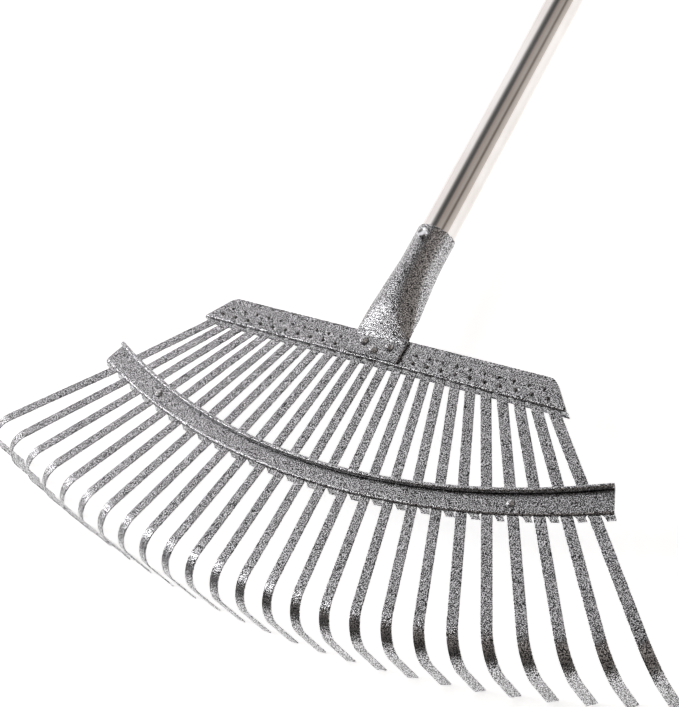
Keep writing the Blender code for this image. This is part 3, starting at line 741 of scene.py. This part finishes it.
GRIP_RADIUS, GRIP_MOUTH, GRIP_END = 15.0, TUBE_LENGTH - 100.7, TUBE_LENGTH + 24.0
reach = np.linspace(GRIP_MOUTH + 3, GRIP_END - 5, 150)
fade = ease((reach - GRIP_MOUTH - 8) / 6) * ease((GRIP_END - 34 - reach) / 6)
grooves = GRIP_RADIUS - 0.45 * fade * (1 - np.cos(2 * np.pi * reach / 6.0))
shoulder = arc((10.0, GRIP_END - 5), 5.0, 90, 0, 10)
outside = np.vstack([[(0.0, GRIP_END), (6.0, GRIP_END)], shoulder,
                     np.stack([grooves, reach], -1)[::-1][1:],
                     [(GRIP_RADIUS - 0.3, GRIP_MOUTH + 1), (GRIP_RADIUS - 1, GRIP_MOUTH)]])
bore = [(12.7, GRIP_MOUTH), (12.7, TUBE_LENGTH + 0.3), (0.0, TUBE_LENGTH + 0.3)]
grip_profile = np.vstack([outside, bore])
grip = make_piece("ribbed_grip", on_handle(spin(grip_profile, 72)),
                  grid_quads(len(grip_profile), 72, wrap_columns=True))
hole_profile = [(7.0, -16.0), (5.7, -13.6), (5.1, -12.4), (5.0, -11.0), (5.0, 11.0), (5.1, 12.4),
                (5.7, 13.6), (7.0, 16.0)]
sideways = spin(hole_profile, 40)[..., [2, 1, 0]] + np.array([0.0, 0.0, GRIP_END - 12.0])
carve(grip, loft("hanging_hole", on_handle(sideways)))
stand_for(grip, MOULDED_BLACK, "grip", "handle_grip")
print("tube and grip faces:", len(tube.data.polygons), len(grip.data.polygons))

# %% [markdown]
# ## Spreader brace
# The brace is a strip of sheet bent round an arc across the tines. Its rear edge is rolled
# up into a bead that stiffens it, and its front edge is turned down between the tines, with
# an arch over each one. One parameter runs round the arc, the other along the folded profile.
# Near the two ends the bead dips in a quarter circle, as it does where the roll runs out.

# %% Roll the brace
BRACE_HALF = math.radians(23.6)
WEB_Z, BRACE_SHEET, BEAD, WALL, FILLET = 1.35, 1.1, 1.1, 493.9, 1.6
ROUND_END = 4.0
WEB_GROWTH = 4.0                            # what the web is deeper at the brace's two ends
ARCH_LOW = -6.65                            # the foot of the arches' cutters


def web_growth(angle):
    """How much deeper the web is at an angle round the arc: 4 (angle / half)^2."""
    return WEB_GROWTH * (angle / BRACE_HALF) ** 2


def brace_profile():
    """(radius, z): bead, wall, fillet, web, rounded front edge and its foot."""
    web = np.stack([np.linspace(496.2, 505.2, 6), np.full(6, WEB_Z)], -1)
    turn = arc((505.9, WEB_Z - 2.0), 2.0, 90, 15, 7)
    foot = turn[-1] + np.linspace(0, 1, 5)[1:, None] * np.array([1.6, WEB_Z - 5.0 - turn[-1, 1]])
    bead = arc((BRACE_RADIUS, WEB_Z + 2.5), BEAD, -30, 180, 16)
    fillet = arc((WALL + FILLET, WEB_Z + FILLET), FILLET, 180, 270, 7)
    return np.vstack([bead, fillet, web, turn, foot])


def brace_grid(columns=181):
    """(r sin a, centre - r cos a, z), with the bead's height over the web rounded at the ends."""
    angle = np.linspace(-BRACE_HALF, BRACE_HALF, columns)
    ends = ROUND_END * (1 - np.cos(np.linspace(0, np.pi / 2, 8)[1:-1])) / BRACE_RADIUS
    angle = np.sort(np.concatenate([angle, -BRACE_HALF + ends, BRACE_HALF - ends]))
    radius, z = brace_profile().T
    into = np.clip((BRACE_HALF - np.abs(angle)) * BRACE_RADIUS / ROUND_END, 0.0, 1.0)
    cap = 0.75 + 0.25 * np.sqrt(1 - (1 - into) ** 2)
    above = np.maximum(z - WEB_Z, 0.0)
    height = np.minimum(z, WEB_Z)[:, None] + above[:, None] * cap
    outward = np.clip((radius - 496.2) / 9.0, 0.0, 1.0)[:, None] * web_growth(angle)
    radius = radius[:, None] + outward
    return np.stack([radius * np.sin(angle), BRACE_CENTRE - radius * np.cos(angle), height], -1)


def arch(index):
    """A tunnel cutter over one tine: x = half |cos|^0.5, z = low + rise |sin|^0.35."""
    riveted = abs(index) == BRACE_TINE
    half, top = (6.2, 0.95) if riveted else (5.2, 1.2)
    a = np.linspace(0, np.pi, 25)
    outline = np.stack([half * np.sign(np.cos(a)) * np.abs(np.cos(a)) ** 0.5,
                        ARCH_LOW + (top - ARCH_LOW) * np.sin(a) ** 0.35], -1)
    distance = crossing(index, BRACE_RADIUS + 14.5) + web_growth(math.radians(1.9) * index)
    ends = -distance + np.array([-6.0, 6.0])[:, None] * np.ones(len(a))
    tunnel = np.stack([np.tile(outline[:, 0], (2, 1)), ends, np.tile(outline[:, 1], (2, 1))], -1)
    return loft("arch", on_tine(index, tunnel))


grid = brace_grid()
brace = make_piece("rolled_brace", grid, grid_quads(*grid.shape[:2]))
solid = brace.modifiers.new("sheet", "SOLIDIFY")
solid.thickness, solid.offset, solid.use_even_offset = BRACE_SHEET * MM, 0.0, True
settle(brace)
arches = join_pieces("arches", [arch(index) for index in every])
carve(brace, arches, *[peg("rivet_hole", 1.9, -5.0, 5.0, place) for place in BRACE_RIVET_AT.values()])
stand_for(brace, HEAD_LACQUER, "hammertone_head", "spreader_brace")
print("brace faces:", len(brace.data.polygons))

# %% [markdown]
# ## Floor and light
# The rake lies on a plain white floor under soft studio light. One panel stands at the left, and
# the rest of the studio is a ramp on the world, whose bands run along the handle. They matter
# most to the polished tube: a broad bright one from the left, warm ones from the right, and a
# dark gap between them overhead. Panels could make the bands, but a ramp is easier to tune.

# %% Lay the floor
floor_mesh = bpy.data.meshes.new("studio_floor")
span = 6.0
corners = [(-span, -span, 0.0), (span, -span, 0.0), (span, span, 0.0), (-span, span, 0.0)]
floor_mesh.from_pydata(corners, [], [(0, 1, 2, 3)])
floor = bpy.data.objects.new("studio_floor", floor_mesh)
bpy.context.scene.collection.objects.link(floor)
floor_paint, floor_shader, floor_place = new_finish("floor_paint")
wash = floor_place.noise(0.5, detail=2.0).ramp((0.3, 0.93), (0.7, 0.95))
feed(floor_shader, base_color=wash, roughness=0.9, emission_color=wash)
floor_shader.inputs["Emission Strength"].default_value = 0.72
floor_mesh.materials.append(floor_paint)

# %% Hang the light panels
def light_panel(name, place, aim, size, power, colour):
    """An area light at a place, turned so that it faces aim."""
    lamp = bpy.data.lights.new(name, "AREA")
    lamp.shape, lamp.size, lamp.size_y = "RECTANGLE", size[0], size[1]
    lamp.energy, lamp.color = power, colour
    panel = bpy.data.objects.new(name, lamp)
    direction = np.asarray(place, float) - np.asarray(aim, float)
    z = direction / np.linalg.norm(direction)
    x = np.cross((0.0, 1.0, 0.0), z)
    x /= np.linalg.norm(x)
    panel.matrix_world = Matrix((*zip(x, np.cross(z, x), z, place), (0, 0, 0, 1)))
    bpy.context.scene.collection.objects.link(panel)
    return panel


light_panel("hook_panel", (-1.5, -0.9, 1.5), (0.1, -0.65, 0.0), (1.5, 0.55), 9.0, (1.0, 0.99, 1.0))

# %% Shade the studio round it
world = bpy.data.worlds.new("studio")
world.use_nodes = True
sky = world.node_tree
bpy.context.scene.world = world
coordinates = sky.nodes.new("ShaderNodeTexCoord")
direction = Socket(sky, coordinates.outputs["Generated"])
x_part = direction.node("ShaderNodeSeparateXYZ", {}, {"Vector": direction})
y_part, z_part = (Socket(sky, x_part.output.node.outputs[axis]) for axis in (1, 2))
angle = (x_part - y_part * 0.6).maths("ARCTAN2", x_part - y_part * 0.6, z_part)
lean = angle * (1 / math.pi) + 0.5


def band(degrees, value, tint=(1.0, 1.0, 1.0)):
    """A ramp stop at a lean in degrees, negative to the left."""
    return 0.5 + degrees / 180.0, tuple(value * part for part in tint)


WARM, COPPER, COOL = (1.0, 0.93, 0.87), (1.0, 0.84, 0.76), (1.0, 0.975, 0.98)
bands = lean.ramp(band(-90, 1.0, COOL), band(-50, 1.0, COOL), band(-44, 0.66), band(-38, 0.26),
                  band(-31, 0.13),
                  band(-23, 0.07), band(-13, 0.12), band(-5, 0.38, COPPER), band(9, 0.40, WARM),
                  band(23, 0.44, WARM), band(31, 0.20, COPPER), band(41, 0.16, COPPER),
                  band(50, 0.48, WARM), band(90, 0.64, WARM))
front = y_part.node("ShaderNodeClamp", {},
                    {"Value": y_part * 1.1 + 1.12, "Min": 0.15, "Max": 1.0})
sky.links.new(bands.output, sky.nodes["Background"].inputs["Color"])
sky.links.new(front.output, sky.nodes["Background"].inputs["Strength"])

# %% [markdown]
# ## Camera
# The camera looks from in front and to the right of the head, well above it, and is rolled so
# that the handle leaves at the top. Its place and its three axes are given in the head's
# frame, in metres, and go to the scene by the same tilt and shift as everything else.

# %% Set up the camera
CAMERA_AT = np.array([606.17, -377.5, 765.01])
CAMERA_AXES = np.array([[0.776328, 0.483763, -0.40409], [-0.20578, 0.800464, 0.562949],
                        [0.595793, -0.35388, 0.720971]])
lens = bpy.data.cameras.new("camera")
lens.sensor_width = 36.0
lens.lens = 82.607
lens.clip_end = 50.0
camera = bpy.data.objects.new("camera", lens)
axes = CAMERA_AXES @ TILT.T
camera.matrix_world = Matrix((*zip(*axes, in_scene(CAMERA_AT)), (0, 0, 0, 1)))
bpy.context.scene.collection.objects.link(camera)
bpy.context.scene.camera = camera
bpy.context.scene.view_settings.view_transform = "Standard"

# %% Count the triangles and finish
triangles = sum(len(polygon.vertices) - 2 for piece in finished for polygon in piece.data.polygons)
print("pieces:", len(finished), "triangles:", triangles)
